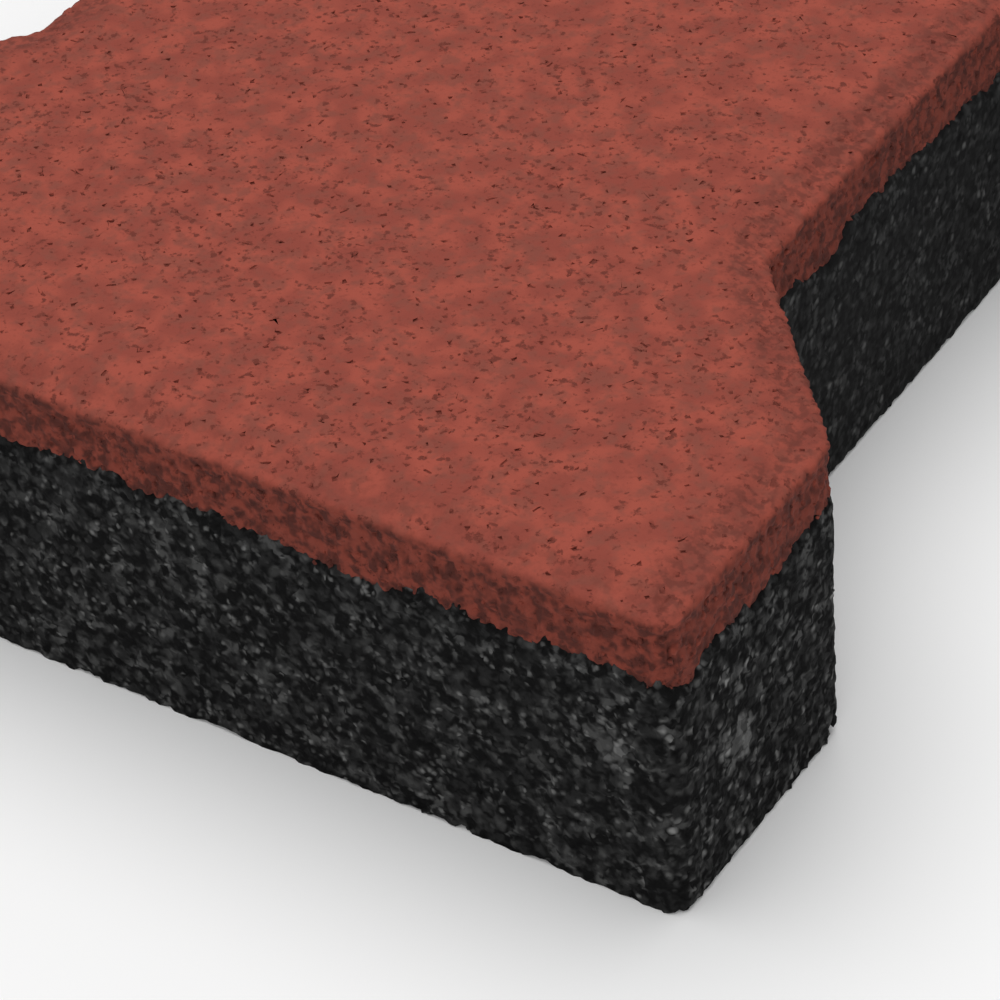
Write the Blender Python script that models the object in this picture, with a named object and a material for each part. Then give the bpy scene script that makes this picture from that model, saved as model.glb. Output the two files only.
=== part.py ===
# Interlocking rubber paver: a red wearing layer bonded on a black base of coarser crumb.
# X runs across the heads, Y along the paver and Z up, in metres. The origin is the
# middle of the underside.
import math

import bmesh
import bpy
from mathutils import Vector

LENGTH = 0.200
HEAD_WIDTH = 0.160
THICKNESS = 0.045
HEAD_SIDE = 0.036  # straight side of each head, along Y
RECESS_DEPTH = 0.024  # how far the waist lies inside the heads
JOINT_CLEARANCE = 0.002  # slack when two neighbours' heads meet in one recess

WEAR_THICKNESS = 0.0095
WEAR_SETBACK = 0.0004  # the base stands this far proud of the wearing layer
LAYER_GAP = 0.0003  # keeps the two bonded solids apart
SHOULDER_WIDTH = 0.0046  # lowered margin along every top edge
SHOULDER_DROP = 0.0012

HEAD_CORNER_RADIUS = 0.003
WAIST_CORNER_RADIUS = 0.004
ARC_STEPS = 5  # straight steps in each rounded corner

# The recess floor is as long as the two head sides that meet in it, so the
# waist ends this far from the middle and the slanted sides fill the rest.
WAIST_END = HEAD_SIDE + JOINT_CLEARANCE / 2
WAIST_HALF = HEAD_WIDTH / 2 - RECESS_DEPTH


def plan_corners():
    """Sharp corners of the plan, anticlockwise, each with its corner radius."""
    upper_right = [
        (Vector((WAIST_HALF, WAIST_END)), WAIST_CORNER_RADIUS),
        (Vector((HEAD_WIDTH / 2, LENGTH / 2 - HEAD_SIDE)), HEAD_CORNER_RADIUS),
        (Vector((HEAD_WIDTH / 2, LENGTH / 2)), HEAD_CORNER_RADIUS),
    ]
    upper_left = [(Vector((-p.x, p.y)), radius) for p, radius in reversed(upper_right)]
    upper = upper_right + upper_left
    lower = [(-p, radius) for p, radius in upper]
    return upper + lower


def inset_corner(before, corner, after, inset):
    """Corner of the outline whose sides all lie the same distance further in."""
    side_in = (corner - before).normalized()
    side_out = (after - corner).normalized()
    normal_in = Vector((-side_in.y, side_in.x))
    normal_out = Vector((-side_out.y, side_out.x))
    mitre = (normal_in + normal_out).normalized()
    return corner + mitre * (inset / mitre.dot(normal_in))


def rounded_corner(before, corner, after, radius):
    """Points of the arc that rounds one corner."""
    to_before = (before - corner).normalized()
    to_after = (after - corner).normalized()
    half_angle = to_before.angle(to_after) / 2
    bisector = (to_before + to_after).normalized()
    centre = corner + bisector * (radius / math.sin(half_angle))
    start = corner + to_before * (radius / math.tan(half_angle)) - centre
    end = corner + to_after * (radius / math.tan(half_angle)) - centre
    turn = start.angle(end)
    points = []
    for step in range(ARC_STEPS + 1):
        part = step / ARC_STEPS
        blend = start * math.sin((1 - part) * turn) + end * math.sin(part * turn)
        points.append(centre + blend / math.sin(turn))
    return points


def plan_outline(inset, radius_scale):
    """Rounded plan outline, moved in by inset, with its radii scaled."""
    corners = plan_corners()
    count = len(corners)
    moved = []
    for index, (corner, radius) in enumerate(corners):
        before = corners[index - 1][0]
        after = corners[(index + 1) % count][0]
        moved.append((inset_corner(before, corner, after, inset), radius * radius_scale))
    points = []
    for index, (corner, radius) in enumerate(moved):
        before = moved[index - 1][0]
        after = moved[(index + 1) % count][0]
        points.extend(rounded_corner(before, corner, after, radius))
    return points


def solid_through_levels(name, levels, material):
    """Closed solid through outlines at rising heights: (z, inset, radius scale)."""
    mesh = bmesh.new()
    rings = []
    for z, inset, radius_scale in levels:
        outline = plan_outline(inset, radius_scale)
        rings.append([mesh.verts.new((p.x, p.y, z)) for p in outline])
    mesh.faces.new(reversed(rings[0]))
    mesh.faces.new(rings[-1])
    for below, above in zip(rings, rings[1:]):
        for index in range(len(below)):
            after = (index + 1) % len(below)
            mesh.faces.new((below[index], below[after], above[after], above[index]))
    data = bpy.data.meshes.new(name)
    mesh.to_mesh(data)
    mesh.free()
    data.materials.append(material)
    data.shade_smooth()
    data.set_sharp_from_angle(angle=math.radians(30))
    solid = bpy.data.objects.new(name, data)
    bpy.context.collection.objects.link(solid)
    return solid


def crumb_material(name, color, roughness):
    material = bpy.data.materials.new(name)
    material.use_nodes = True
    shader = material.node_tree.nodes["Principled BSDF"]
    shader.inputs["Base Color"].default_value = (*color, 1.0)
    shader.inputs["Roughness"].default_value = roughness
    shader.inputs["Metallic"].default_value = 0.0
    return material


def make_base_layer():
    top = THICKNESS - WEAR_THICKNESS - LAYER_GAP
    levels = [(0.0, 0.0, 1.0), (top, 0.0, 1.0)]
    black_crumb = crumb_material("black_crumb", (0.017, 0.017, 0.018), 0.85)
    return solid_through_levels("base_layer", levels, black_crumb)


def make_wear_layer():
    bottom = THICKNESS - WEAR_THICKNESS
    rim = THICKNESS - SHOULDER_DROP
    levels = [
        (bottom, WEAR_SETBACK, 1.0),
        (rim, WEAR_SETBACK, 1.0),
        (THICKNESS, WEAR_SETBACK + SHOULDER_WIDTH, 0.5),
    ]
    red_crumb = crumb_material("red_crumb", (0.30, 0.078, 0.055), 0.8)
    return solid_through_levels("wear_layer", levels, red_crumb)


def main():
    for item in list(bpy.data.objects):
        bpy.data.objects.remove(item)
    make_base_layer()
    make_wear_layer()


main()
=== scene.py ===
import math

import bpy
import numpy as np
from mathutils import Matrix, Vector


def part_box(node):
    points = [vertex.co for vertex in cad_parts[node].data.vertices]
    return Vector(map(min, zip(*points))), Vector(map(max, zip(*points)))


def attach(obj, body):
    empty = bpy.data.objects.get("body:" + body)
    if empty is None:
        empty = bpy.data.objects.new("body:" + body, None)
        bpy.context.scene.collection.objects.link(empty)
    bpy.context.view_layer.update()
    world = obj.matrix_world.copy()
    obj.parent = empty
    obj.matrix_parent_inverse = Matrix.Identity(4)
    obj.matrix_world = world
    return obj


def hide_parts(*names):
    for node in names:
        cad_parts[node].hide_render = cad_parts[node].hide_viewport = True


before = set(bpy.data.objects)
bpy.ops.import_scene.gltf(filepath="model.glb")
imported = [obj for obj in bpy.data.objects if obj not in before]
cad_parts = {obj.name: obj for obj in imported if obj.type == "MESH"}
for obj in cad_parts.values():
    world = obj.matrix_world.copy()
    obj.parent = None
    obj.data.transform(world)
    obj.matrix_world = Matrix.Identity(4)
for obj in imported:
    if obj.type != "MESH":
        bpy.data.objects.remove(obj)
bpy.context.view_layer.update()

# Metres everywhere. X runs across the heads, Y along the paver, Z up.
mm = 0.001
baseLow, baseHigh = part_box("base_layer")
wearLow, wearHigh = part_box("wear_layer")
layerHeight = (baseHigh.z + wearLow.z) / 2
print("frame:", sorted(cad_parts), [round(v / mm, 1) for v in baseHigh - baseLow], "mm")


# one object active, points in and out, a modifier applied

def activate(piece):
    bpy.ops.object.select_all(action="DESELECT")
    piece.select_set(True)
    bpy.context.view_layer.objects.active = piece


def readVectors(items, name):
    flat = np.empty(len(items) * 3, np.float32)
    items.foreach_get(name, flat)
    return flat.reshape(-1, 3).astype(float)


def readPoints(piece):
    return readVectors(piece.data.vertices, "co")


def writePoints(piece, points):
    piece.data.vertices.foreach_set("co", points.astype(np.float32).ravel())
    piece.data.update()


def pointNormals(piece):
    return readVectors(piece.data.vertex_normals, "vector")


def storeValue(piece, name, values):
    layer = piece.data.attributes.new(name, "FLOAT", "POINT")
    layer.data.foreach_set("value", values.astype(np.float32))


def editSelected(piece, kind, flags):
    mesh = piece.data
    for items in (mesh.vertices, mesh.edges, mesh.polygons):
        items.foreach_set("select", np.zeros(len(items), bool))
    getattr(mesh, kind).foreach_set("select", flags)
    modes = (kind == "vertices", kind == "edges", kind == "polygons")
    bpy.context.tool_settings.mesh_select_mode = modes
    activate(piece)
    bpy.ops.object.mode_set(mode="EDIT")


def objectMode():
    bpy.ops.object.mode_set(mode="OBJECT")


def applyModifier(piece, kind, **settings):
    activate(piece)
    modifier = piece.modifiers.new(kind.lower(), kind)
    for name, value in settings.items():
        setattr(modifier, name, value)
    bpy.ops.object.modifier_apply(modifier=modifier.name)


def fromNode(nodeName, pieceName):
    piece = bpy.data.objects.new(pieceName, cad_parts[nodeName].data.copy())
    bpy.context.collection.objects.link(piece)
    piece.data.materials.clear()
    activate(piece)
    bpy.ops.object.mode_set(mode="EDIT")
    bpy.ops.mesh.select_all(action="SELECT")
    bpy.ops.mesh.remove_doubles(threshold=0.01 * mm)
    objectMode()
    return piece


# the outline of the plan, walked once round the foot of the CAD base

def readOutline(nodeName):
    probe = fromNode(nodeName, "probe")
    mesh = probe.data
    low = [v.co.z < baseLow.z + 0.1 * mm for v in mesh.vertices]
    beside = {}
    for face in mesh.polygons:
        if abs(face.normal.z) < 0.5:
            for a, b in face.edge_keys:
                if low[a] and low[b]:
                    beside.setdefault(a, []).append(b)
                    beside.setdefault(b, []).append(a)
    loop = [min(beside)]
    loop.append(beside[loop[0]][0])
    while True:
        onward = [v for v in beside[loop[-1]] if v != loop[-2]][0]
        if onward == loop[0]:
            break
        loop.append(onward)
    corners = np.array([mesh.vertices[v].co.xy[:] for v in loop])
    bpy.data.objects.remove(probe)
    ahead = np.roll(corners, -1, axis=0)
    area = (corners[:, 0] * ahead[:, 1] - corners[:, 1] * ahead[:, 0]).sum()
    return corners if area > 0 else corners[::-1]


outline = readOutline("base_layer")
wallRuns = np.roll(outline, -1, axis=0) - outline
wallLengths = np.hypot(wallRuns[:, 0], wallRuns[:, 1])
wallNormals = np.column_stack([wallRuns[:, 1], -wallRuns[:, 0]]) / wallLengths[:, None]
wallStarts = np.cumsum(wallLengths) - wallLengths
print("outline:", len(outline), "walls,", round(wallLengths.sum() / mm), "mm round")


# nearest place on the outline: how far inside it, the place, the way out, how far round

def nearestWall(points):
    gap = np.full(len(points), 1.0)
    foot = np.zeros((len(points), 2))
    way = np.zeros((len(points), 2))
    along = np.zeros(len(points))
    for start, run, length, normal, begin in zip(outline, wallRuns, wallLengths, wallNormals, wallStarts):
        share = np.clip((points[:, :2] - start) @ run / length ** 2, 0, 1)
        place = start + share[:, None] * run
        reach = np.hypot(*(points[:, :2] - place).T)
        closer = reach < gap
        gap[closer] = reach[closer]
        foot[closer] = place[closer]
        way[closer] = normal
        along[closer] = begin + length * share[closer]
    inside = -((points[:, :2] - foot) * way).sum(axis=1)
    return np.where(inside < 0, -gap, gap), foot, way, along


def keepInside(points, margin=0.02 * mm):
    depth, foot, way, along = nearestWall(points)
    out = depth < margin
    points[out, :2] = foot[out] - way[out] * margin
    points[:, 2] = np.clip(points[:, 2], baseLow.z, wearHigh.z)
    return points


# a random number from 0 to 1 for each cell of a grid

def cellValue(cells, seed):
    mixed = cells[:, 0] * 73856093 ^ cells[:, 1] * 19349663 ^ cells[:, 2] * 83492791 ^ seed * 50331653
    mixed = (mixed ^ mixed >> 13) * 1274126177 & 0xFFFFFFFF
    return ((mixed ^ mixed >> 15) & 0xFFFF) / 0xFFFF


# smooth noise from -1 to 1

def noiseAt(points, size, seed):
    places = points / size
    cells = np.floor(places).astype(np.int64)
    part = places - cells
    part = part * part * (3 - 2 * part)
    total = np.zeros(len(points))
    for corner in np.ndindex(2, 2, 2):
        weight = np.where(corner, part, 1 - part).prod(axis=1)
        total += weight * cellValue(cells + corner, seed)
    return total * 2 - 1


# pressed crumb: a plateau per crumb, a groove between two, a random number for each

def crumbsAt(points, size, seed, groove=0.35):
    places = points / size
    cells = np.floor(places).astype(np.int64)
    first = np.full(len(points), 9.0)
    second = np.full(len(points), 9.0)
    pick = np.zeros(len(points))
    for step in np.ndindex(3, 3, 3):
        cell = cells + step - 1
        centre = cell + np.column_stack([cellValue(cell, seed + k) for k in (1, 2, 3)])
        reach = np.linalg.norm(places - centre, axis=1)
        closer = reach < first
        second = np.where(closer, first, np.minimum(second, reach))
        first = np.where(closer, reach, first)
        pick = np.where(closer, cellValue(cell, seed + 4), pick)
    return np.clip((second - first) / groove, 0, 1), pick


# from 0 at low to 1 at high, and from 1 at full to 0 at gone

def riseOf(values, low, high):
    return np.clip((values - low) / (high - low), 0.0, 1.0)


def fallOf(values, full, gone):
    return riseOf(-values, -gone, -full)


# the line between the layers wanders up and down round the sides, and both walls dive
# under each other where they pass it

layerLine = {
    "lower": 0.5 * mm, "slow": 1.7 * mm, "slowSize": 8 * mm, "quick": 0.9 * mm, "quickSize": 2 * mm,
    "overlap": 1.5 * mm, "dive": 0.8 * mm, "diveFrom": (-0.2 * mm, 1.0 * mm),
    "headSag": 1.0 * mm, "headSide": (77 * mm, 79 * mm), "headMiddle": 82 * mm,
    "headReach": (5 * mm, 15 * mm),
}


def lineShift(points):
    flat = points * np.array([1.0, 1.0, 0.0])
    shift = noiseAt(flat, layerLine["slowSize"], 1) * layerLine["slow"]
    shift += noiseAt(flat, layerLine["quickSize"], 2) * layerLine["quick"]
    across, ahead = np.abs(points[:, :2]).T
    onHead = riseOf(across, *layerLine["headSide"])
    onHead *= fallOf(np.abs(ahead - layerLine["headMiddle"]), *layerLine["headReach"])
    return shift - layerLine["lower"] - layerLine["headSag"] * onHead


def diveAt(past):
    return layerLine["dive"] * riseOf(past, *layerLine["diveFrom"])


# flat hidden inside faces become one face again after the remesh

def flattenInside(piece, sign, beyond):
    centres = readVectors(piece.data.polygons, "center")
    normals = readVectors(piece.data.polygons, "normal")
    inner = nearestWall(centres)[0] > beyond
    editSelected(piece, "polygons", (normals[:, 2] * sign > 0.9) & inner)
    bpy.ops.mesh.dissolve_faces()
    objectMode()


# pores: spaced grid points or edges of the top opened by a bevel, then pushed in

poreSpots = {
    "level": 0.93, "inside": 1.6 * mm, "shortest": 0.5 * mm, "longest": 0.95 * mm,
    "crowdSize": 7 * mm, "crowdSpread": 0.5, "leastCrowd": -0.1, "inset": 0.55, "ragged": 0.4,
}


def spacedOut(places, allowed, count, apart, rng):
    order = np.flatnonzero(allowed)
    rng.shuffle(order)
    taken = {}
    picked = []
    for index in order:
        x, y = places[index, :2]
        cell = (int(x // apart), int(y // apart))
        near = [taken.get((cell[0] + i, cell[1] + j)) for i in (-1, 0, 1) for j in (-1, 0, 1)]
        if any(n is not None and math.hypot(n[0] - x, n[1] - y) < apart for n in near):
            continue
        taken[cell] = (x, y)
        picked.append(index)
        if len(picked) == count:
            break
    flags = np.zeros(len(places), bool)
    flags[picked] = True
    return flags


def pressPores(piece, pore, rng):
    points = readPoints(piece)
    level = pointNormals(piece)[:, 2] > poreSpots["level"]
    if pore["long"]:
        pairs = np.empty(len(piece.data.edges) * 2, np.int32)
        piece.data.edges.foreach_get("vertices", pairs)
        pairs = pairs.reshape(-1, 2)
        places = points[pairs].mean(axis=1)
        length = np.linalg.norm(points[pairs[:, 0]] - points[pairs[:, 1]], axis=1)
        fits = (length < poreSpots["longest"]) & (length > poreSpots["shortest"]) & level[pairs].all(axis=1)
    else:
        places = points
        fits = level.copy()
    fits &= nearestWall(places)[0] > poreSpots["inside"]
    spread = poreSpots["crowdSpread"]
    crowd = noiseAt(places[fits], poreSpots["crowdSize"], 8) + rng.uniform(-spread, spread, fits.sum())
    fits[np.flatnonzero(fits)[crowd < poreSpots["leastCrowd"]]] = False
    flags = spacedOut(places, fits, pore["count"], pore["apart"], rng)
    editSelected(piece, "edges" if pore["long"] else "vertices", flags)
    bpy.ops.mesh.bevel(offset=pore["radius"], segments=1, affect="EDGES" if pore["long"] else "VERTICES")
    bpy.ops.mesh.select_mode(type="FACE")
    thickness = pore["radius"] * poreSpots["inset"]
    bpy.ops.mesh.inset(thickness=thickness, depth=-pore["depth"], use_even_offset=False)
    objectMode()
    before = set(map(tuple, points.round(6)))
    points = readPoints(piece)
    fresh = np.array([tuple(point) not in before for point in points.round(6)])
    ragged = poreSpots["ragged"]
    points[fresh, :2] += rng.uniform(-ragged, ragged, (fresh.sum(), 2)) * pore["radius"]
    writePoints(piece, points)


# the red wearing layer

redLayer = {
    "grain": 1.05 * mm,
    "flatInside": 6 * mm,  # the underside is one face from here in
    "topSkin": 2 * mm,  # how far down the top reaches
    "topInset": 2 * mm,
    "scatter": 0.28,  # of a grain, sideways
    "tremble": 0.05,  # in millimetres
    "hollowInset": 1.2 * mm,
    "hollowDepth": (0.05 * mm, 0.2 * mm),  # where a pore starts to darken, and is dark
    "fineBand": 1.4 * mm,  # twice as fine from the side to here
    "edgeReach": 8 * mm,
    "fade": (5 * mm, 7 * mm),
    "topFrom": 2.2 * mm,
    "sideTo": (0.7 * mm, 2.0 * mm),
    "relief": 0.85 * mm,
    "crumb": 1.7 * mm,
    "fineCrumb": 0.95 * mm,
    "groove": 0.24 * mm,
    "grooveAt": 3.0 * mm,
    "grooveWidth": 0.9 * mm,
    "grooveWander": 0.8 * mm,
    "lip": 0.28 * mm,
    "lipAt": 1.2 * mm,
    "lipWidth": 0.6 * mm,
    "sag": 0.06 * mm,
    "rimOut": 0.75 * mm,
    "rimDrop": 0.35 * mm,
    "rimDepth": 0.4 * mm,
    "rimHeight": 43.8 * mm,
    "rimWidth": 1.1 * mm,
    "lumps": 0.16 * mm,
    "lumpSize": 1.2 * mm,
    "lumpFrom": (0.3 * mm, 1.2 * mm),
    "lumpTo": (4 * mm, 7.5 * mm),
    "waveSize": 5 * mm,
    "quickSize": 1.5 * mm,
    "lineReach": 2.5 * mm,  # the wandering of the line ends this far below the top
    "footOut": 0.3 * mm,
    # the walls take a darker side colour than the top: painted shade
    "shadedSideColour": (2.0 * mm, 0.9 * mm),  # below the top: all side colour, and none of it
    # where the shoulder's wear band starts and ends; it is darkened partly as painted shade
    "wearAndShadeFrom": (1.0 * mm, 1.7 * mm),
    "wearAndShadeTo": (4.2 * mm, 7.4 * mm),
    "wearAndShadeWave": 0.6 * mm,
    "wearAndShadeQuick": 0.4 * mm,
    "pores": [
        {"long": True, "count": 330, "radius": 0.2 * mm, "depth": 0.16 * mm, "apart": 3.6 * mm},
        {"long": False, "count": 1250, "radius": 0.48 * mm, "depth": 0.22 * mm, "apart": 2.6 * mm},
        {"long": False, "count": 1500, "radius": 0.36 * mm, "depth": 0.18 * mm, "apart": 2.1 * mm},
    ],
}


# the lowered margin of the CAD top: its drop, where it starts and where it ends

shoulder = {"drop": 1.2 * mm, "from": 0.4 * mm, "to": 5.0 * mm}


def shoulderHeight(depth):
    return wearHigh.z - shoulder["drop"] * (1 - riseOf(depth, shoulder["from"], shoulder["to"]))


def makeRedLayer():
    rng = np.random.default_rng(11)
    piece = fromNode("wear_layer", "redLayer")
    applyModifier(piece, "REMESH", mode="VOXEL", voxel_size=redLayer["grain"])
    flattenInside(piece, -1, redLayer["flatInside"])
    points = readPoints(piece)
    depth = nearestWall(points)[0]
    onTop = (points[:, 2] > wearHigh.z - redLayer["topSkin"]) & (depth > redLayer["topInset"])
    scatter = redLayer["scatter"]
    points[:, :2] += rng.uniform(-scatter, scatter, (len(points), 2)) * redLayer["grain"] * onTop[:, None]
    writePoints(piece, points)
    for pore in redLayer["pores"]:
        pressPores(piece, pore, rng)
    points = readPoints(piece)
    depth = nearestWall(points)[0]
    above = (points[:, 2] > wearHigh.z - redLayer["topSkin"]) & (depth > redLayer["hollowInset"])
    # painted shade for the pressed pores: how far a top point lies sunk below the shoulder, darkened in the
    # material
    sunk = shoulderHeight(depth) - points[:, 2]
    storeValue(piece, "hollowShade", riseOf(sunk, *redLayer["hollowDepth"]) * above)
    onTop = above & (depth > redLayer["topInset"])
    tremble = redLayer["tremble"]
    points[:, :2] += rng.uniform(-tremble, tremble, (len(points), 2)) * mm * onTop[:, None]
    writePoints(piece, points)
    centres = readVectors(piece.data.polygons, "center")
    normals = readVectors(piece.data.polygons, "normal")
    outer = nearestWall(centres)[0] < redLayer["fineBand"]
    editSelected(piece, "polygons", outer & (normals[:, 2] > -0.5))
    bpy.ops.mesh.subdivide(number_cuts=1)
    objectMode()
    shapeRedSides(piece)
    return piece


def hump(values, middle, width):
    return np.exp(-((values - middle) / width) ** 2)


def shapeRedSides(piece):
    points = readPoints(piece)
    normals = pointNormals(piece)
    depth = nearestWall(points)[0]
    near = np.flatnonzero(depth < redLayer["edgeReach"])
    close, inward = points[near], depth[near]
    way = nearestWall(close)[2]
    plateau, pick = crumbsAt(close, redLayer["crumb"], 3)
    finePlateau, finePick = crumbsAt(close, redLayer["fineCrumb"], 13)
    up = close[:, 2] > wearHigh.z - redLayer["topFrom"]
    side = 1 - riseOf(inward, *redLayer["sideTo"])
    rough = 1 - 0.65 * plateau * (0.4 + 0.6 * pick) - 0.35 * finePlateau * finePick
    wave = noiseAt(close, redLayer["waveSize"], 6)
    quick = noiseAt(close, redLayer["quickSize"], 7)
    trenchAt = redLayer["grooveAt"] + wave * redLayer["grooveWander"]
    trench = hump(inward, trenchAt, redLayer["grooveWidth"])
    ridge = hump(inward, redLayer["lipAt"], redLayer["lipWidth"])
    raised = redLayer["lip"] * ridge * (0.7 + 0.5 * wave + 0.4 * quick)
    sunk = redLayer["groove"] * trench * (0.7 + wave + 0.5 * quick)
    fade = fallOf(inward, *redLayer["fade"])
    fromRim = np.hypot(inward - redLayer["rimDepth"], close[:, 2] - redLayer["rimHeight"])
    rim = hump(fromRim, 0, redLayer["rimWidth"])
    inset = redLayer["relief"] * np.clip(rough - 0.35, 0, 1) * side * (1 - 0.5 * rim)
    inset -= redLayer["rimOut"] * rim * (1 + 0.5 * quick)
    close -= normals[near] * inset[:, None]
    close[:, 2] += (raised - np.clip(sunk, 0, None) - redLayer["sag"] * (1 + quick)) * up * fade
    close[:, 2] -= redLayer["rimDrop"] * rim * (1 + 0.8 * quick)
    lumpy = riseOf(inward, *redLayer["lumpFrom"]) * (1 - riseOf(inward, *redLayer["lumpTo"])) * up
    close[:, 2] -= redLayer["lumps"] * (1 + noiseAt(close, redLayer["lumpSize"], 15)) * lumpy
    low = 1 - riseOf(close[:, 2], layerHeight, wearHigh.z - redLayer["lineReach"])
    shift = lineShift(close)
    close[:, 2] += (shift - layerLine["overlap"]) * low * fade
    past = layerHeight + shift - close[:, 2]
    close[:, :2] -= way * ((diveAt(past) - redLayer["footOut"]) * low * side)[:, None]
    points[near] = close
    # painted shade: the walls of the red layer get the darker side colour
    onSide = np.zeros(len(points))
    full, gone = redLayer["shadedSideColour"]
    onSide[near] = side * fallOf(close[:, 2], wearHigh.z - full, wearHigh.z - gone)
    storeValue(piece, "side", onSide)
    # wear on the shoulder band, and painted shade: the band and the lower walls darken more on the head
    # ends, which face away from the light
    wearAndShade = np.zeros(len(points))
    reach = inward + (wave * redLayer["wearAndShadeWave"] + quick * redLayer["wearAndShadeQuick"])
    band = riseOf(reach, *redLayer["wearAndShadeFrom"]) * (1 - riseOf(reach, *redLayer["wearAndShadeTo"]))
    onEnds = 0.45 + 1.2 * np.abs(way[:, 0])
    wearAndShade[near] = np.clip(band * up * (0.8 + 0.4 * quick) * onEnds + side * (1 - up) * onEnds * 0.3, 0, 1)
    storeValue(piece, "wearAndShade", wearAndShade)
    writePoints(piece, keepInside(points))


redPiece = makeRedLayer()
print("red layer:", sum(len(f.vertices) - 2 for f in redPiece.data.polygons), "triangles")


# the black base

blackBase = {
    "grain": 0.78 * mm,
    "flatTop": 5.5 * mm,
    "flatUnder": 6.5 * mm,
    "fineWall": 1.1 * mm,  # twice as fine from the wall to here, within the band at the line
    "relief": 0.95 * mm,
    "bulge": 0.2 * mm,
    "crumb": 2.1 * mm,
    "fineCrumb": 1.1 * mm,
    "footLift": 1.0 * mm,
    "footDrop": 0.4 * mm,
    "footSize": 5.5 * mm,
    "footHeight": 5 * mm,
    "edgeReach": 8 * mm,
    "reliefFade": (3 * mm, 6 * mm),
    "bulgeFade": (1 * mm, 2 * mm),
    "lineFade": (5 * mm, 7.5 * mm),
    "diveFade": (1.5 * mm, 3 * mm),
    "footFade": (0.5 * mm, 3.5 * mm),
    "fineBand": 3.4 * mm,
    "lineReach": 20 * mm,
    "calmRelief": 0.45,  # shares taken off the relief and the foot's lift at the waist
    "calmFoot": 0.85,
    "chip": (80 * mm, -63.5 * mm, 0),
    "chipSize": 3.2 * mm,
    "chipDepth": 1.6 * mm,
}


# the waist and its slants come smoother from the mould than the heads

calmReach = (58 * mm, 66 * mm)


def calmOf(points):
    return fallOf(np.abs(points[:, 1]), *calmReach)


def makeBlackBase():
    piece = fromNode("base_layer", "blackBase")
    applyModifier(piece, "REMESH", mode="VOXEL", voxel_size=blackBase["grain"])
    flattenInside(piece, 1, blackBase["flatTop"])
    flattenInside(piece, -1, blackBase["flatUnder"])
    centres = readVectors(piece.data.polygons, "center")
    outer = nearestWall(centres)[0] < blackBase["fineWall"]
    editSelected(piece, "polygons", outer & (centres[:, 2] > baseHigh.z - blackBase["fineBand"]))
    bpy.ops.mesh.subdivide(number_cuts=1)
    objectMode()
    points = readPoints(piece)
    normals = pointNormals(piece)
    depth = nearestWall(points)[0]
    near = np.flatnonzero(depth < blackBase["edgeReach"])
    close, inward = points[near], depth[near]
    way = nearestWall(close)[2]
    plateau, pick = crumbsAt(close, blackBase["crumb"], 5)
    finePlateau, finePick = crumbsAt(close, blackBase["fineCrumb"], 9)
    rough = 1 - 0.62 * plateau * (0.3 + 0.7 * pick) - 0.3 * finePlateau * finePick
    fade = fallOf(inward, *blackBase["reliefFade"])
    fade *= 1 - blackBase["calmRelief"] * calmOf(close)
    close -= normals[near] * (blackBase["relief"] * np.clip(rough - 0.35, 0, 1) * fade)[:, None]
    close[:, :2] += way * (blackBase["bulge"] * fallOf(inward, *blackBase["bulgeFade"]))[:, None]
    upward = riseOf(close[:, 2], baseHigh.z - blackBase["lineReach"], layerHeight)
    shift = lineShift(close)
    close[:, 2] += (shift + layerLine["overlap"]) * upward * fallOf(inward, *blackBase["lineFade"])
    past = close[:, 2] - layerHeight - shift
    close[:, :2] -= way * (diveAt(past) * fallOf(inward, *blackBase["diveFade"]))[:, None]
    lift = np.clip(noiseAt(close * np.array([1, 1, 0]), blackBase["footSize"], 12), 0, 1)
    lift *= 1 - blackBase["calmFoot"] * calmOf(close)
    foot = fallOf(close[:, 2], 0, blackBase["footHeight"]) * fallOf(inward, *blackBase["footFade"])
    close[:, 2] += (lift * blackBase["footLift"] - blackBase["footDrop"]) * foot
    toChip = np.linalg.norm(close - blackBase["chip"], axis=1)
    close[:, :2] -= way * (blackBase["chipDepth"] * fallOf(toChip, 0, blackBase["chipSize"]))[:, None]
    points[near] = close
    writePoints(piece, keepInside(points))
    storeValue(piece, "calm", calmOf(points))
    return piece


blackPiece = makeBlackBase()
print("black base:", sum(len(f.vertices) - 2 for f in blackPiece.data.polygons), "triangles")


# loose-looking granules half sunk in the walls

def crumbShapes(kinds):
    shapes = []
    for kind in range(kinds):
        bpy.ops.object.select_all(action="DESELECT")
        bpy.ops.mesh.primitive_ico_sphere_add(subdivisions=1, radius=1)
        granule = bpy.context.object
        bpy.ops.object.mode_set(mode="EDIT")
        bpy.ops.transform.resize(value=(1.3, 1.0, 0.75))
        bpy.ops.transform.vertex_random(offset=0.25, uniform=0.5, seed=kind)
        objectMode()
        shapes.append(readPoints(granule))
        faces = [tuple(face.vertices) for face in granule.data.polygons]
        bpy.data.objects.remove(granule)
    return np.array(shapes), np.array(faces)


def turns(count, rng):
    q = rng.normal(size=(count, 4))
    w, x, y, z = (q / np.linalg.norm(q, axis=1)[:, None]).T
    rows = [
        [1 - 2 * (y * y + z * z), 2 * (x * y - z * w), 2 * (x * z + y * w)],
        [2 * (x * y + z * w), 1 - 2 * (x * x + z * z), 2 * (y * z - x * w)],
        [2 * (x * z - y * w), 2 * (y * z + x * w), 1 - 2 * (x * x + y * y)],
    ]
    return np.array(rows).transpose(2, 0, 1)


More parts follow.
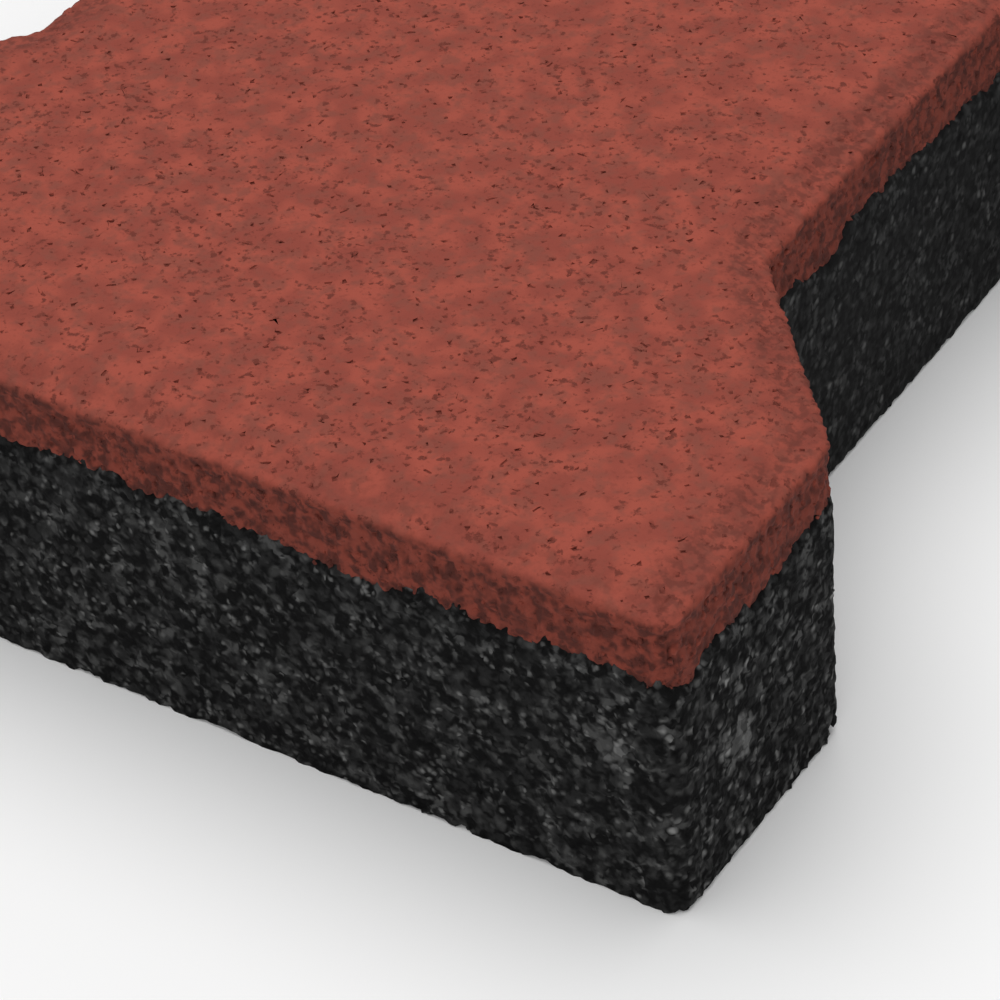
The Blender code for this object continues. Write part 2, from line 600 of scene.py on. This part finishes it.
def spotsOnWalls(low, high, pitch, rng):
    spots = []
    for start, run, length, normal in zip(outline, wallRuns, wallLengths, wallNormals):
        tries = int(length * (high - low) / pitch ** 2 * 5) + 3
        place = start + rng.random(tries)[:, None] * run
        heights = rng.uniform(low, high, tries)
        spots.append(np.column_stack([place, heights, np.tile(normal, (tries, 1))]))
    spots = np.concatenate(spots)
    rng.shuffle(spots)
    steps = [(i, j, k) for i in (-1, 0, 1) for j in (-1, 0, 1) for k in (-1, 0, 1)]
    taken = {}
    kept = []
    for row, (x, y, z) in enumerate(spots[:, :3]):
        cell = (int(x // pitch), int(y // pitch), int(z // pitch))
        others = [taken.get((cell[0] + i, cell[1] + j, cell[2] + k)) for i, j, k in steps]
        if all(o is None or math.dist(o, (x, y, z)) >= pitch for o in others):
            taken[cell] = (x, y, z)
            kept.append(row)
    return spots[kept]


def makeCrumb(name, crumb):
    rng = np.random.default_rng(crumb["seed"])
    shapes, faces = crumbShapes(8)
    spots = spotsOnWalls(crumb["low"], crumb["high"], crumb["pitch"], rng)
    above = spots[:, 2] - layerHeight - lineShift(spots[:, :3])
    spots = spots[(above > crumb["aboveLine"][0]) & (above < crumb["aboveLine"][1])]
    count = len(spots)
    radius = crumb["radius"] * rng.lognormal(0, 0.3, count)
    local = shapes[rng.integers(0, len(shapes), count)] * radius[:, None, None]
    local = np.einsum("nij,nkj->nki", turns(count, rng), local)
    outward = np.column_stack([spots[:, 3:5], np.zeros(count)])
    tip = np.einsum("nki,ni->nk", local, outward).max(axis=1)
    sunk = tip + rng.uniform(crumb["sunk"][0], crumb["sunk"][1], count)
    corners = (spots[:, :3] - outward * sunk[:, None])[:, None, :] + local
    corners = keepInside(corners.reshape(-1, 3))
    corners[:, 2] = np.clip(corners[:, 2], crumb["floor"], crumb["ceiling"])
    size = local.shape[1]
    mesh = bpy.data.meshes.new(name)
    allFaces = (faces[None] + (np.arange(count) * size)[:, None, None]).reshape(-1, 3)
    mesh.from_pydata(corners.tolist(), [], allFaces.tolist())
    mesh.update()
    piece = bpy.data.objects.new(name, mesh)
    bpy.context.collection.objects.link(piece)
    storeValue(piece, "calm", calmOf(corners))
    # granules take the darker side colour in the red material: painted shade
    storeValue(piece, "side", np.ones(len(corners)))
    activate(piece)
    bpy.ops.object.shade_smooth_by_angle(angle=math.radians(75))
    print(name + ":", len(mesh.polygons), "triangles")
    return piece


blackCrumb = {
    "seed": 31, "low": 0.5 * mm, "high": 38 * mm, "pitch": 2.0 * mm, "radius": 0.8 * mm,
    "aboveLine": (-60 * mm, -0.3 * mm), "sunk": (0, 0.45 * mm), "floor": 0.1 * mm, "ceiling": 39 * mm,
}
redCrumb = {
    "seed": 47, "low": 31 * mm, "high": 41.5 * mm, "pitch": 1.5 * mm, "radius": 0.55 * mm,
    "aboveLine": (-0.2 * mm, 60 * mm), "sunk": (0.25 * mm, 0.6 * mm), "floor": 30 * mm, "ceiling": 43 * mm,
}
blackCrumbPiece = makeCrumb("blackCrumb", blackCrumb)
redCrumbPiece = makeCrumb("redCrumb", redCrumb)


# materials

def startMaterial(name, roughness, specular):
    material = bpy.data.materials.new(name)
    material.use_nodes = True
    tree = material.node_tree
    shader = tree.nodes["Principled BSDF"]
    shader.inputs["Roughness"].default_value = roughness
    shader.inputs["Specular IOR Level"].default_value = specular
    spot = tree.nodes.new("ShaderNodeTexCoord").outputs["Object"]
    return material, tree, shader, spot


def noiseNode(tree, spot, size, detail=2.0, roughness=0.5):
    node = tree.nodes.new("ShaderNodeTexNoise")
    node.inputs["Scale"].default_value = 1 / size
    node.inputs["Detail"].default_value = detail
    node.inputs["Roughness"].default_value = roughness
    tree.links.new(spot, node.inputs["Vector"])
    return node


def noiseOf(tree, spot, size, detail=2.0, roughness=0.5):
    return noiseNode(tree, spot, size, detail, roughness).outputs["Fac"]


def vectorOf(tree, operation, first, second):
    node = tree.nodes.new("ShaderNodeVectorMath")
    node.operation = operation
    for socket, value in zip(node.inputs, (first, second)):
        if isinstance(value, tuple):
            socket.default_value = value
        else:
            tree.links.new(value, socket)
    return node.outputs["Value" if operation in ("DOT_PRODUCT", "DISTANCE") else "Vector"]


def sumOf(tree, operation, first, second):
    node = tree.nodes.new("ShaderNodeMath")
    node.operation = operation
    for socket, value in zip(node.inputs, (first, second)):
        if isinstance(value, (int, float)):
            socket.default_value = value
        else:
            tree.links.new(value, socket)
    return node.outputs["Value"]


def rampOf(tree, value, low, high, fromValue=0.0, toValue=1.0):
    node = tree.nodes.new("ShaderNodeMapRange")
    node.interpolation_type = "SMOOTHSTEP"
    node.inputs["From Min"].default_value = low
    node.inputs["From Max"].default_value = high
    node.inputs["To Min"].default_value = fromValue
    node.inputs["To Max"].default_value = toValue
    tree.links.new(value, node.inputs["Value"])
    return node.outputs["Result"]


def mixOf(tree, factor, first, second):
    node = tree.nodes.new("ShaderNodeMix")
    node.data_type = "RGBA"
    tree.links.new(factor, node.inputs["Factor"])
    colours = [s for s in node.inputs if s.type == "RGBA"]
    for socket, value in zip(colours, (first, second)):
        if isinstance(value, tuple):
            socket.default_value = (*value, 1.0)
        else:
            tree.links.new(value, socket)
    return next(s for s in node.outputs if s.type == "RGBA")


def bumpOf(tree, shader, height, depth, strength=1.0):
    node = tree.nodes.new("ShaderNodeBump")
    node.inputs["Distance"].default_value = depth
    node.inputs["Strength"].default_value = strength
    tree.links.new(height, node.inputs["Height"])
    tree.links.new(node.outputs["Normal"], shader.inputs["Normal"])


def valueOf(tree, name):
    node = tree.nodes.new("ShaderNodeAttribute")
    node.attribute_name = name
    return node.outputs["Fac"]


# crumbs drawn in the shader: a random tone per crumb, a soft bright dot on a chosen share of them (a pale
# granule, partly a painted glint), and how far out from the middle

def crumbsOf(tree, spot, size, wobble, share, radius):
    noise = noiseNode(tree, spot, size * 0.6, 0).outputs["Color"]
    pushed = vectorOf(tree, "SUBTRACT", noise, (0.5, 0.5, 0.5))
    pushed = vectorOf(tree, "MULTIPLY", pushed, (wobble, wobble, wobble))
    node = tree.nodes.new("ShaderNodeTexVoronoi")
    node.inputs["Scale"].default_value = 1 / size
    tree.links.new(vectorOf(tree, "ADD", spot, pushed), node.inputs["Vector"])
    split = tree.nodes.new("ShaderNodeSeparateColor")
    tree.links.new(node.outputs["Color"], split.inputs["Color"])
    dot = rampOf(tree, node.outputs["Distance"], radius * 0.2, radius * 1.4, 1.0, 0.0)
    chosen = rampOf(tree, split.outputs["Green"], 1 - share * 1.2, 1 - share * 0.4)
    return split.outputs["Red"], sumOf(tree, "MULTIPLY", dot, chosen), node.outputs["Distance"]


redFinish = {
    "light": (0.332, 0.0720, 0.0480),
    "deep": (0.256, 0.0570, 0.0398),
    "brown": (0.215, 0.0620, 0.0440),
    # painted shade: the colour that pores and sunk pits are darkened to
    "pore": (0.150, 0.0350, 0.0245),
    # the darker colour of the shoulder's wear, partly painted shade on the head ends
    "wearAndShade": (0.135, 0.0365, 0.0270),
    # painted shade: the walls are painted darker than the top, mottled at random, with darker pores
    "shadedSideLight": (0.220, 0.0480, 0.0320),
    "shadedSideDark": (0.082, 0.0225, 0.0170),
    "sidePoreShade": (0.055, 0.0170, 0.0140),
    "roughness": 0.85,
    "specular": 0.12,
    "patchSize": 5 * mm,
    "mottleSize": 2.0 * mm,
    "streakSize": 1.3 * mm,
    "crowdSize": 6 * mm,
    "poreSize": 1.15 * mm,
    "fleckSize": 0.7 * mm,
    "raggedSize": 0.5 * mm,
    "crumbSize": 1.1 * mm,
    "coarseSize": 2.2 * mm,
    "grainSize": 0.6 * mm,
    "bump": 0.13 * mm,
}


def makeRedFinish():
    material, tree, shader, spot = startMaterial("redRubber", redFinish["roughness"], redFinish["specular"])
    patches = rampOf(tree, noiseOf(tree, spot, redFinish["patchSize"], 1), 0.38, 0.62)
    colour = mixOf(tree, patches, redFinish["deep"], redFinish["light"])
    mottle = rampOf(tree, noiseOf(tree, spot, redFinish["mottleSize"], 2, 0.5), 0.43, 0.7, 0, 0.75)
    colour = mixOf(tree, mottle, colour, redFinish["brown"])
    streaks = rampOf(tree, noiseOf(tree, spot, redFinish["streakSize"], 2, 0.6), 0.42, 0.62, 0.25, 0.8)
    # wear streaks on the shoulder, made stronger on the head ends as painted shade
    colour = mixOf(tree, sumOf(tree, "MULTIPLY", valueOf(tree, "wearAndShade"), streaks), colour, redFinish["wearAndShade"])
    # painted shade in the pores and in points sunk in the pressed pits, mixed with random fine dark flecks
    crowd = rampOf(tree, noiseOf(tree, spot, redFinish["crowdSize"], 1), 0.38, 0.62, 0.06, 0.0)
    poreNoise = sumOf(tree, "SUBTRACT", noiseOf(tree, spot, redFinish["poreSize"], 3, 0.62), crowd)
    pores = rampOf(tree, poreNoise, 0.54, 0.67)
    fine = rampOf(tree, noiseOf(tree, spot, redFinish["fleckSize"], 1, 0.5), 0.55, 0.75, 0, 0.3)
    poreShadeAndFlecks = sumOf(tree, "MAXIMUM", pores, fine)
    ragged = sumOf(tree, "MULTIPLY", noiseOf(tree, spot, redFinish["raggedSize"], 1), 0.6)
    pitShade = sumOf(tree, "ADD", sumOf(tree, "MULTIPLY", valueOf(tree, "hollowShade"), 0.75), ragged)
    poreShadeAndFlecks = sumOf(tree, "MAXIMUM", poreShadeAndFlecks, rampOf(tree, pitShade, 0.5, 0.95, 0, 0.9))
    colour = mixOf(tree, poreShadeAndFlecks, colour, redFinish["pore"])
    crumbs = noiseOf(tree, spot, redFinish["crumbSize"], 1, 0.5)
    coarse = rampOf(tree, noiseOf(tree, spot, redFinish["coarseSize"], 2, 0.5), 0.4, 0.6, 0, 0.65)
    coarse = sumOf(tree, "ADD", coarse, rampOf(tree, crumbs, 0.36, 0.64, 0, 0.42))
    # painted shade: the side colour, darker than the top, mottled at random and darker in the pores
    shadedSideColour = mixOf(tree, coarse, redFinish["shadedSideDark"], redFinish["shadedSideLight"])
    # painted shade: the walls of the head ends are darkened further
    dull = sumOf(tree, "MULTIPLY", valueOf(tree, "wearAndShade"), 0.6)
    shadedSideColour = mixOf(tree, dull, shadedSideColour, redFinish["shadedSideDark"])
    shadedSideColour = mixOf(tree, sumOf(tree, "MULTIPLY", pores, 0.65), shadedSideColour, redFinish["sidePoreShade"])
    side = valueOf(tree, "side")
    colour = mixOf(tree, side, colour, shadedSideColour)
    tree.links.new(colour, shader.inputs["Base Color"])
    grain = sumOf(tree, "SUBTRACT", noiseOf(tree, spot, redFinish["grainSize"], 2, 0.6), pores)
    grain = sumOf(tree, "ADD", grain, sumOf(tree, "MULTIPLY", crumbs, sumOf(tree, "MULTIPLY", side, 4.0)))
    bumpOf(tree, shader, grain, redFinish["bump"], 0.8)
    return material


blackFinish = {
    # painted shade between the crumbs
    "gap": (0.0030, 0.0030, 0.0031),
    "dark": (0.0064, 0.0064, 0.0065),
    "usual": (0.0275, 0.0275, 0.0276),
    "grey": (0.070, 0.070, 0.069),
    # bright specks: partly pale granules, partly painted glints on crumb facets
    "speckAndGlint": (0.26, 0.26, 0.255),
    "patch": (0.150, 0.150, 0.148),
    "roughness": (0.95, 0.7),
    "specular": 0.05,
    "crowdSize": 4 * mm,
    "crumbs": {"size": 1.5 * mm, "wobble": 0.5 * mm, "share": 0.26, "radius": 0.38},
    "fineCrumbs": {"size": 0.9 * mm, "wobble": 0.3 * mm, "share": 0.2, "radius": 0.44},
    "fineSpeckAndGlint": 0.5,
    "blendSize": 1.4 * mm,
    "bloomSize": 2.2 * mm,
    "wobble": 1.5 * mm,
    "bumpSize": 1.2 * mm,
    "bump": 0.7 * mm,
    "patches": [((70.8 * mm, -100 * mm, 23.5 * mm), 3.2 * mm), ((80 * mm, -86.5 * mm, 17 * mm), 3.8 * mm)],
}


def makeBlackFinish():
    dull, smooth = blackFinish["roughness"]
    material, tree, shader, spot = startMaterial("blackRubber", smooth, blackFinish["specular"])
    lively = rampOf(tree, valueOf(tree, "calm"), 0, 1, 1.0, 0.32)
    crowd = rampOf(tree, noiseOf(tree, spot, blackFinish["crowdSize"], 2, 0.6), 0.38, 0.64)
    shade, dots, out = crumbsOf(tree, spot, **blackFinish["crumbs"])
    fineShade, fineDots = crumbsOf(tree, spot, **blackFinish["fineCrumbs"])[:2]
    blend = sumOf(tree, "MULTIPLY", shade, 0.5)
    blend = sumOf(tree, "ADD", blend, sumOf(tree, "MULTIPLY", fineShade, 0.15))
    cloud = rampOf(tree, noiseOf(tree, spot, blackFinish["blendSize"], 1, 0.5), 0.3, 0.7, -0.2, 0.5)
    blend = rampOf(tree, sumOf(tree, "ADD", blend, cloud), 0.2, 0.85)
    tone = sumOf(tree, "MULTIPLY", blend, rampOf(tree, crowd, 0, 1, 0.45, 1.0))
    quiet = sumOf(tree, "SUBTRACT", 1.0, lively)
    even = sumOf(tree, "MULTIPLY", quiet, sumOf(tree, "SUBTRACT", 0.34, tone))
    tone = sumOf(tree, "ADD", tone, sumOf(tree, "MULTIPLY", even, 0.7))
    colour = mixOf(tree, tone, blackFinish["dark"], blackFinish["usual"])
    pale = sumOf(tree, "MULTIPLY", rampOf(tree, blend, 0.5, 1.0, 0, 0.75), rampOf(tree, crowd, 0.5, 1.0))
    blooms = rampOf(tree, noiseOf(tree, spot, blackFinish["bloomSize"], 1, 0.5), 0.54, 0.72)
    blooms = sumOf(tree, "MULTIPLY", blooms, rampOf(tree, fineShade, 0.0, 1.0, 0.25, 0.65))
    pale = sumOf(tree, "MAXIMUM", pale, blooms)
    colour = mixOf(tree, sumOf(tree, "MULTIPLY", pale, lively), colour, blackFinish["grey"])
    wobble = blackFinish["wobble"]
    wobble = rampOf(tree, noiseOf(tree, spot, wobble, 1), 0.3, 0.7, -wobble, wobble)
    for place, size in blackFinish["patches"]:
        reach = sumOf(tree, "ADD", vectorOf(tree, "DISTANCE", spot, place), wobble)
        patch = rampOf(tree, reach, size * 0.4, size, 1.0, 0.0)
        patch = sumOf(tree, "MULTIPLY", patch, rampOf(tree, shade, 0, 1, 0.3, 0.9))
        colour = mixOf(tree, patch, colour, blackFinish["patch"])
    # bright specks on chosen crumbs: partly pale granules, partly painted glints
    speckAndGlint = sumOf(tree, "MAXIMUM", dots, sumOf(tree, "MULTIPLY", fineDots, blackFinish["fineSpeckAndGlint"]))
    speckAndGlint = sumOf(tree, "MULTIPLY", speckAndGlint, rampOf(tree, crowd, 0.0, 0.9, 0.2, 0.85))
    colour = mixOf(tree, sumOf(tree, "MULTIPLY", speckAndGlint, lively), colour, blackFinish["speckAndGlint"])
    # painted shade: the colour darkens towards each crumb's edge, between the crumbs
    colour = mixOf(tree, rampOf(tree, out, 0.6, 0.9, 0.0, 0.6), colour, blackFinish["gap"])
    tree.links.new(colour, shader.inputs["Base Color"])
    tree.links.new(rampOf(tree, tone, 0.0, 0.8, dull, smooth), shader.inputs["Roughness"])
    height = noiseOf(tree, spot, blackFinish["bumpSize"], 1, 0.5)
    height = sumOf(tree, "MULTIPLY", height, rampOf(tree, valueOf(tree, "calm"), 0, 1, 1.0, 0.35))
    bumpOf(tree, shader, height, blackFinish["bump"], 0.8)
    return material


redRubber = makeRedFinish()
blackRubber = makeBlackFinish()


# a second map for baking, named OFBake: flat faces as they lie, the sides unrolled in four
# upright strips, and the hidden backs of granules in four more

bakeMap = {
    "flat": 0.6,  # least rise or fall of a normal for the top or the underside
    "deep": 3 * mm,  # faces further in than this are never sides
    "strips": 4, "between": 0.004, "foldOver": 1.6 * mm,
}


def addBakeMap(piece, layout):
    mesh = piece.data
    corners = np.empty(len(mesh.loops), np.int32)
    mesh.loops.foreach_get("vertex_index", corners)
    counts = np.empty(len(mesh.polygons), np.int32)
    mesh.polygons.foreach_get("loop_total", counts)
    faceOf = np.repeat(np.arange(len(counts)), counts)
    normals = readVectors(mesh.polygons, "normal")[faceOf]
    depth, foot, way, middle = nearestWall(readVectors(mesh.polygons, "center"))
    facing = (normals[:, :2] * way[faceOf]).sum(axis=1)
    deep = depth[faceOf] > bakeMap["deep"]
    middle = middle[faceOf]
    points = readPoints(piece)
    along = nearestWall(points)[3][corners]
    points = points[corners]
    around = wallLengths.sum()
    along += around * np.round((middle - along) / around)
    strips = bakeMap["strips"]
    strip = np.minimum(np.floor(middle / around * strips), strips - 1)
    kinds = {
        "top": (normals[:, 2] > bakeMap["flat"]) | deep & (normals[:, 2] > 0),
        "under": (normals[:, 2] < -bakeMap["flat"]) | deep & (normals[:, 2] <= 0),
        "back": facing < 0,
        "side": np.ones(len(corners), bool),
    }
    spots = np.zeros((len(corners), 2))
    free = np.ones(len(corners), bool)
    for kind, (right, up, scale) in layout["parts"].items():
        chosen = kinds[kind] & free
        free &= ~chosen
        if kind in ("top", "under"):
            flat = (points[:, :2] - baseLow.xy) * scale + (right, up)
        else:
            wide = (layout["high"] - layout["low"]) * scale + bakeMap["between"]
            flat = np.column_stack([
                right + strip * wide + (points[:, 2] - layout["low"]) * scale,
                up + (along - strip * around / strips + bakeMap["foldOver"]) * scale,
            ])
        spots[chosen] = flat[chosen]
    layer = mesh.uv_layers.new(name="OFBake")
    layer.data.foreach_set("uv", spots.astype(np.float32).ravel())
    print(piece.name, "map from", spots.min(axis=0).round(3), "to", spots.max(axis=0).round(3))


bakeLayouts = {
    "redLayer": {
        "low": 30.4 * mm, "high": 45 * mm,
        "parts": {"top": (0.004, 0.004, 4.4), "under": (0.004, 0.9, 0.3), "side": (0.712, 0.004, 4.4)},
    },
    "blackBase": {
        "low": 0, "high": 39.5 * mm,
        "parts": {"top": (0.7, 0.5, 1.8), "under": (0.7, 0.004, 1.8), "side": (0.004, 0.004, 4.2)},
    },
    "blackCrumb": {
        "low": 0, "high": 39.5 * mm,
        "parts": {"back": (0.66, 0.004, 2.0), "side": (0.004, 0.004, 3.9)},
    },
    "redCrumb": {
        "low": 30 * mm, "high": 43 * mm,
        "parts": {"back": (0.6, 0.004, 4.0), "side": (0.004, 0.004, 5.0)},
    },
}


def dress(piece, material):
    piece.data.materials.append(material)
    addBakeMap(piece, bakeLayouts[piece.name])
    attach(piece, "root")


dress(redPiece, redRubber)
dress(blackPiece, blackRubber)
dress(redCrumbPiece, redRubber)
dress(blackCrumbPiece, blackRubber)
for piece in (redPiece, blackPiece):
    activate(piece)
    bpy.ops.object.shade_smooth_by_angle(angle=math.radians(60))
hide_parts("wear_layer")
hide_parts("base_layer")
print("materials on")


# floor, light and camera

stage = {
    "floorSize": 6.0, "floorBelow": 0.02 * mm, "floorShade": (0.94, 0.94, 0.94), "floorDim": 0.985,
    "floorPatches": 0.4, "floorFinish": (0.9, 0.1),
    "skyShade": (1.0, 1.0, 1.0), "sky": 0.45, "aim": (0.03, -0.05, 0.02),
}
lamps = [
    {"name": "overhead", "place": (-0.15, 0.05, 1.1), "size": 1.3, "power": 8.9},
    {"name": "front", "place": (0.75, -1.15, 0.85), "size": 1.0, "power": 4},
]


def makeStage():
    bpy.ops.object.select_all(action="DESELECT")
    bpy.ops.mesh.primitive_plane_add(size=stage["floorSize"], location=(0, 0, -stage["floorBelow"]))
    floor = bpy.context.object
    floor.name = "floor"
    material, tree, shader, spot = startMaterial("floorPaint", *stage["floorFinish"])
    tone = rampOf(tree, noiseOf(tree, spot, stage["floorPatches"], 2), 0.3, 0.7)
    shade = stage["floorShade"]
    dimmer = tuple(v * stage["floorDim"] for v in shade)
    tree.links.new(mixOf(tree, tone, shade, dimmer), shader.inputs["Base Color"])
    floor.data.materials.append(material)
    world = bpy.data.worlds.new("softSky")
    bpy.context.scene.world = world
    world.use_nodes = True
    sky = world.node_tree.nodes["Background"]
    sky.inputs["Color"].default_value = (*stage["skyShade"], 1.0)
    sky.inputs["Strength"].default_value = stage["sky"]


def addLamp(name, place, size, power):
    bpy.ops.object.light_add(type="AREA", location=place)
    lamp = bpy.context.object
    lamp.name = name
    lamp.data.shape = "DISK"
    lamp.data.size = size
    lamp.data.energy = power
    lamp.rotation_euler = (Vector(place) - Vector(stage["aim"])).to_track_quat("Z", "Y").to_euler()


camera = {
    "azimuth": 36.28, "elevation": 39.57, "roll": -5.13, "distance": 411 * mm,
    "aim": (52.9 * mm, -91.0 * mm, 45 * mm), "lens": 133.96, "sensor": 36, "clip": 0.01,
}


def makeCamera():
    a, e, r = (math.radians(camera[k]) for k in ("azimuth", "elevation", "roll"))
    back = Vector((math.sin(a) * math.cos(e), -math.cos(a) * math.cos(e), math.sin(e)))
    right = Vector((math.cos(a), math.sin(a), 0))
    up = back.cross(right)
    rolledRight = right * math.cos(r) + up * math.sin(r)
    rolledUp = up * math.cos(r) - right * math.sin(r)
    turn = Matrix((rolledRight, rolledUp, back)).transposed()
    place = Vector(camera["aim"]) + back * camera["distance"]
    bpy.ops.object.camera_add(location=place, rotation=turn.to_euler())
    view = bpy.context.object
    view.data.lens = camera["lens"]
    view.data.sensor_width = camera["sensor"]
    view.data.clip_start = camera["clip"]
    bpy.context.scene.camera = view


makeStage()
for lamp in lamps:
    addLamp(**lamp)
makeCamera()
bpy.context.scene.view_settings.view_transform = "Standard"
print("stage and camera ready")
